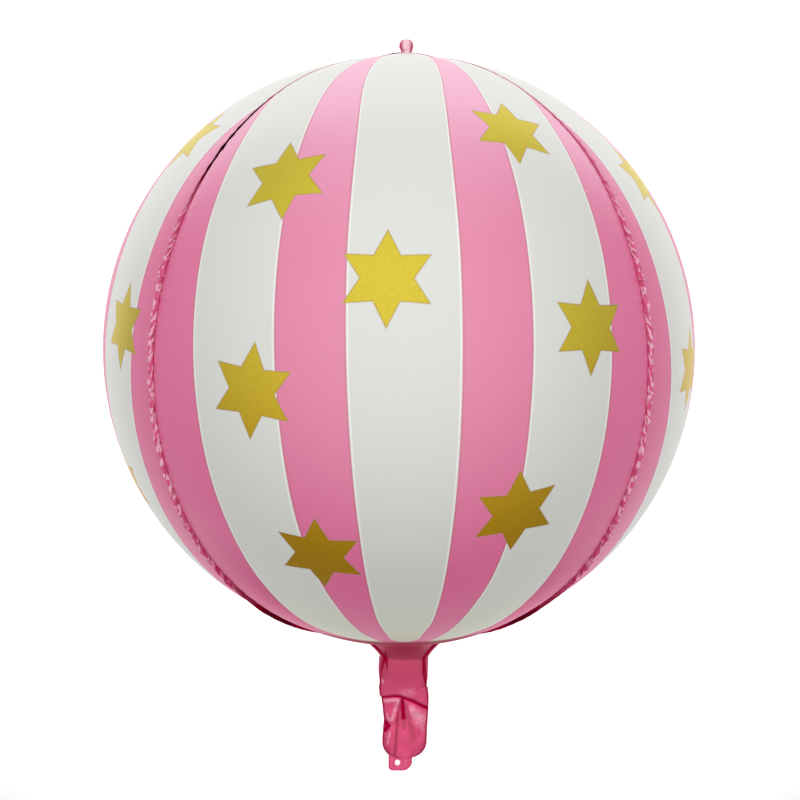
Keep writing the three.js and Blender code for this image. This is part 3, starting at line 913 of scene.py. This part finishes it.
# The print's masks over a panel: pink stripes, the line along their edges, and the stars
def printGroup(v, starValues):
    group, start, end = newGroup(
        "stripesAndStars",
        {"Direction": "NodeSocketVector", "Star Size": "NodeSocketFloat"},
        dict.fromkeys(("Pink", "Seam Stripe", "Line", "Rim", "Star", "Star Edge"), "NodeSocketFloat"),
    )
    parts = addNode(group, "ShaderNodeSeparateXYZ", {0: start["Direction"]}).outputs
    azimuth = reckon(group, "DEGREES", reckon(group, "ARCTAN2", parts["X"], parts["Z"]))
    latitude = reckon(group, "DEGREES", reckon(group, "ARCSINE", parts["Y"]))
    height = reckon(group, "DIVIDE", latitude, v["leanLatitude"])
    bend = reckon(group, "MULTIPLY", reckon(group, "MULTIPLY", height, height), v["middleBend"])
    lean = reckon(group, "SUBTRACT", v["middleAt"], reckon(group, "MULTIPLY", height, v["middleLean"]))
    centre = reckon(group, "ADD", lean, bend)
    away = reckon(group, "ABSOLUTE", reckon(group, "SUBTRACT", azimuth, centre))
    share = reckon(group, "DIVIDE", reckon(group, "ADD", latitude, 90), 180)

    # a curve node's own values run from 0 to 1, and no stripe is as wide as this
    widest = 60

    def halfWidth(points):
        node = group.nodes.new("ShaderNodeFloatCurve")
        curve = node.mapping.curves[0]
        while len(curve.points) < len(points):
            curve.points.new(0.5, 0.5)
        for point, (where, width) in zip(curve.points, points):
            point.location = ((where + 90) / 180, width / widest)
        node.mapping.update()
        group.links.new(share, node.inputs["Value"])
        return reckon(group, "MULTIPLY", node.outputs[0], widest)

    innerStart, innerStop = v["innerEnd"]
    into = reckon(group, "DIVIDE", reckon(group, "SUBTRACT", innerStart, latitude), innerStart - innerStop)
    into = addNode(group, "ShaderNodeClamp", {"Value": into}).outputs[0]
    rounding = reckon(group, "SQRT", reckon(group, "SUBTRACT", 1.0, reckon(group, "MULTIPLY", into, into)))
    inner = reckon(group, "MULTIPLY", halfWidth(v["inner"]), rounding)
    widths = (inner, halfWidth(v["middle"]), halfWidth(v["outer"]))
    edges = [reckon(group, "SUBTRACT", away, width) for width in widths]
    past = [softStep(group, edge, 0, v["softness"]) for edge in edges]
    band = reckon(group, "MAXIMUM", reckon(group, "SUBTRACT", past[0], past[1]), 0.0)
    pink = reckon(group, "ADD", band, past[2])
    below = softStep(group, reckon(group, "MULTIPLY", latitude, -1), -v["allPink"], v["allPinkSoftness"])
    pink = reckon(group, "MAXIMUM", pink, below)
    # signed distance into the pink from its nearest edge
    inBand = reckon(group, "MINIMUM", edges[0], reckon(group, "MULTIPLY", edges[1], -1))
    inPink = reckon(group, "MAXIMUM", inBand, edges[2])

    def alongEdge(offset):
        distance = reckon(group, "ABSOLUTE", reckon(group, "SUBTRACT", inPink, offset))
        strip = reckon(group, "SUBTRACT", 1.0, softStep(group, distance, v["line"] / 2, v["softness"]))
        return reckon(group, "MULTIPLY", strip, reckon(group, "SUBTRACT", 1.0, below))

    one = starGroup(starValues)
    depth = -1.0
    for east, north, turn in starValues["places"]:
        aside, above, twist = radians(east), radians(north), radians(turn)
        middle = Vector((cos(above) * sin(aside), sin(above), cos(above) * cos(aside)))
        acrossBall = Vector((cos(aside), 0, -sin(aside)))
        upBall = Vector((-sin(above) * sin(aside), cos(above), -sin(above) * cos(aside)))
        star = addNode(group, "ShaderNodeGroup", {
            "Direction": start["Direction"],
            "Middle": middle,
            "Across": acrossBall * cos(twist) - upBall * sin(twist),
            "Up": upBall * cos(twist) + acrossBall * sin(twist),
            "Size": start["Star Size"],
        }, node_tree=one)
        depth = reckon(group, "MAXIMUM", depth, star.outputs["Depth"])
    group.links.new(pink, end["Pink"])
    group.links.new(past[2], end["Seam Stripe"])
    group.links.new(alongEdge(v["line"] / 2), end["Line"])
    group.links.new(alongEdge(v["line"] * v["rimAt"]), end["Rim"])
    group.links.new(softStep(group, depth, 0, starValues["softness"]), end["Star"])
    fromEdge = reckon(group, "ABSOLUTE", depth)
    outside = softStep(group, fromEdge, starValues["line"], starValues["lineSoftness"])
    group.links.new(reckon(group, "SUBTRACT", 1.0, outside), end["Star Edge"])
    return group


def printedFoil(v):
    material = bpy.data.materials.new("printed_foil")
    material.use_nodes = True
    tree = material.node_tree
    tree.nodes.clear()

    def attribute(name):
        value = addNode(tree, "ShaderNodeAttribute", attribute_name=name).outputs["Vector"]
        return value, addNode(tree, "ShaderNodeSeparateXYZ", {0: value}).outputs

    def both(first, second):
        return reckon(tree, "MULTIPLY", first, second)

    def without(value):
        return reckon(tree, "SUBTRACT", 1.0, value)

    direction, directions = attribute("foilDirection")
    zones = attribute("foilZones")[1]
    weld = attribute("foilWeld")[1]
    pattern = addNode(tree, "ShaderNodeGroup", {
        "Direction": direction, "Star Size": weld["Z"],
    }, node_tree=printGroup(stripes, stars)).outputs
    place = addNode(tree, "ShaderNodeTexCoord").outputs["Object"]

    # 0 below the first of two latitudes and 1 above the second
    def between(latitudes):
        low, high = (sin(radians(latitude)) for latitude in latitudes)
        return softStep(tree, directions["Y"], (low + high) / 2, high - low)

    # the print
    # the white painted darker towards the neck, as shade
    white = blendColours(tree, between(v["whiteFade"]), v["shadedWhite"], v["white"])
    # the pink painted paler towards the knob, as a sheen
    pink = blendColours(tree, between(v["sheenFade"]), v["pink"], v["sheenPink"])
    colour = blendColours(tree, pattern["Pink"], white, pink)
    colour = blendColours(tree, both(pattern["Line"], v["lineShare"]), colour, v["edgePink"])
    colour = blendColours(tree, both(pattern["Rim"], v["rimShare"]), colour, v["rim"])
    # the gold painted darker towards the neck, as shade
    gold = blendColours(tree, between(v["goldFade"]), v["shadedGold"], v["gold"])
    colour = blendColours(tree, pattern["Star"], colour, gold)
    goldEdge = both(pattern["Star Edge"], v["goldEdgeShare"])
    colour = blendColours(tree, goldEdge, colour, v["goldEdge"])

    # the neck and the knob
    bare = without(between(v["bareFade"]))
    # the knob's own pink, paled by painted sheen on the front and back
    knobSheen = softStep(tree, both(zones["Y"], -1.0), 0.75, 0.2)
    colour = blendColours(tree, bare, colour, v["deepPink"])
    colour = blendColours(tree, knobSheen, colour, v["knobPinkAndSheen"])

    # the welds: painted glints and painted shade in their crinkles, and a line of painted shade at their
    # foot
    onWeld = both(softStep(tree, zones["X"], *v["weldFrom"]), without(bare))
    colour = blendColours(tree, both(onWeld, v["weldShare"]), colour, v["weldPink"])
    across = reckon(tree, "ADD", both(weld["X"], v["crinkles"]), both(zones["X"], v["spotLean"]))
    up = both(zones["X"], v["spotHeight"])

    paintedSpotZone = reckon(tree, "SUBTRACT", between(v["glintFade"][:2]), between(v["glintFade"][2:]))
    paintedSpotZone = both(paintedSpotZone, onWeld)

    def paintedSpots(shift, edge):
        where = addNode(tree, "ShaderNodeCombineXYZ", {0: across, 1: up, 2: shift}).outputs[0]
        spot = addNode(tree, "ShaderNodeTexNoise", {"Vector": where, "Scale": 1.0, "Detail": 1.0}).outputs[0]
        return both(softStep(tree, spot, edge, v["spotSoftness"]), paintedSpotZone)

    # painted highlights on the crinkles
    colour = blendColours(tree, both(paintedSpots(0.0, v["glints"]), v["glintShare"]), colour, v["glint"])
    # painted shade in the crinkles' hollows
    colour = blendColours(tree, both(paintedSpots(7.0, v["crinkleShades"]), v["crinkleShadeShare"]), colour, v["crinkleShade"])
    # painted shade in the groove at the foot of each weld
    foot = both(softStep(tree, zones["Z"], *v["footFrom"]), without(bare))
    foot = both(foot, without(softStep(tree, zones["X"], *v["footTo"])))
    foot = both(foot, without(between(v["footFade"])))
    colour = blendColours(tree, both(foot, v["crinkleShadeShare"]), colour, v["crinkleShade"])

    # painted shade in the folds, first deep red and then nearly black, and painted highlights on the ridges
    def tone(scale, offset=0.0):
        value = reckon(tree, "MULTIPLY_ADD", weld["Y"], scale, offset)
        return addNode(tree, "ShaderNodeClamp", {"Value": value}).outputs[0]

    fold = blendColours(tree, bare, v["fold"], v["neckFoldShade"])
    blackShade = reckon(tree, "MAXIMUM", tone(*v["foldDeep"]), both(foot, tone(1.0)))
    paintedShade = tone(v["foldDark"])
    paintedHighlight = tone(-1.0)
    colour = blendColours(tree, paintedShade, colour, fold)
    colour = blendColours(tree, both(blackShade, without(bare)), colour, v["gap"])
    colour = blendColours(tree, paintedHighlight, colour, v["ridgeHighlight"])

    # fine speckle, strongest in the gold
    grain = addNode(tree, "ShaderNodeTexNoise", {"Vector": place, "Scale": v["grain"]}).outputs[0]
    strength = blendValues(tree, pattern["Pink"], v["speckle"][0], v["speckle"][1])
    strength = blendValues(tree, pattern["Star"], strength, v["speckle"][2])
    change = both(reckon(tree, "SUBTRACT", grain, 0.5), strength)
    colour = addNode(tree, "ShaderNodeVectorMath", {
        0: colour, "Scale": reckon(tree, "ADD", change, 1.0),
    }, operation="SCALE").outputs[0]

    low = both(pattern["Seam Stripe"], without(between(v["seamMetalFade"])))
    metallic = blendValues(tree, bare, both(low, v["seamMetal"]), v["neckMetal"])
    metallic = reckon(tree, "MAXIMUM", pattern["Star"], metallic)
    metallic = reckon(tree, "MAXIMUM", both(metallic, without(paintedHighlight)), paintedShade)
    shiny = reckon(tree, "MAXIMUM", bare, onWeld)
    roughness = blendValues(tree, shiny, v["roughness"], v["weldRoughness"])
    roughness = blendValues(tree, paintedShade, roughness, v["foldRoughness"])
    bump = addNode(tree, "ShaderNodeBump", {
        "Height": grain, "Strength": v["grainBump"], "Distance": v["grainDepth"],
    })
    surface = addNode(tree, "ShaderNodeBsdfPrincipled", {
        "Base Color": colour, "Metallic": metallic, "IOR": v["ior"], "Normal": bump.outputs[0],
        "Roughness": roughness,
    })
    addNode(tree, "ShaderNodeOutputMaterial", {"Surface": surface.outputs[0]})
    return material


material = printedFoil(foil)
print("material made")
for order, name in enumerate(panels):
    buildPanel(name, order, material)


# Floor and light

studio = {
    "floorColour": (0.92, 0.92, 0.92, 1),
    # the floor glows with its own colour, a painted light that keeps it white
    "floorGlow": 0.474,
    "floorRoughness": 0.9,
    "floorSize": 3,  # metres from its middle to each side
    "floorDim": 0.42,  # painted shade: what is left of the floor's colour and glow well beyond the neck and to the sides
    "floorFade": (0.455, 0.78),  # metres from its middle
    "floorReach": (0.95, 1.1, 0),  # how soon it fades sideways and beyond the neck
    "sky": 0.563,  # at the horizon, beside the balloon
    "skyRise": (0, 0.352, 0.692),  # how much it gains towards the knob's end and overhead
}


def makeFloor(v):
    bm = bmesh.new()
    bmesh.ops.create_grid(bm, x_segments=1, y_segments=1, size=v["floorSize"])
    mesh = bpy.data.meshes.new("floor")
    bm.to_mesh(mesh)
    bm.free()
    paint = bpy.data.materials.new("floor_paint_shade_and_glow")
    paint.use_nodes = True
    tree = paint.node_tree
    place = addNode(tree, "ShaderNodeTexCoord").outputs["Object"]
    # the knob's side of the floor counts as its middle line, and stays bright there
    place = reckonVector(tree, "MINIMUM", place, (v["floorSize"], 0, 0))
    place = reckonVector(tree, "MULTIPLY", place, v["floorReach"])
    distance = reckonVector(tree, "LENGTH", place)
    begins, ends = v["floorFade"]
    away = softStep(tree, distance, (begins + ends) / 2, ends - begins)
    # painted shade: the floor darkens away from its middle and beyond the neck
    share = blendValues(tree, away, 1.0, v["floorDim"])
    colour = blendColours(tree, share, (0, 0, 0, 1), v["floorColour"])
    surface = tree.nodes["Principled BSDF"]
    tree.links.new(colour, surface.inputs["Base Color"])
    tree.links.new(colour, surface.inputs["Emission Color"])
    surface.inputs["Emission Strength"].default_value = v["floorGlow"]
    surface.inputs["Roughness"].default_value = v["floorRoughness"]
    mesh.materials.append(paint)
    floorPiece = bpy.data.objects.new("floor", mesh)
    bpy.context.scene.collection.objects.link(floorPiece)


# A soft sky, brighter overhead and towards the knob's end
def makeSky(v):
    world = bpy.data.worlds.new("studio")
    world.use_nodes = True
    tree = world.node_tree
    way = addNode(tree, "ShaderNodeTexCoord").outputs["Generated"]
    rise = reckonVector(tree, "DOT_PRODUCT", way, v["skyRise"])
    strength = reckon(tree, "MAXIMUM", reckon(tree, "ADD", rise, v["sky"]), 0.0)
    tree.nodes["Background"].inputs["Color"].default_value = (1, 1, 1, 1)
    tree.links.new(strength, tree.nodes["Background"].inputs["Strength"])
    bpy.context.scene.world = world


makeFloor(studio)
makeSky(studio)
bpy.context.scene.view_settings.view_transform = "Standard"
print("studio lit")
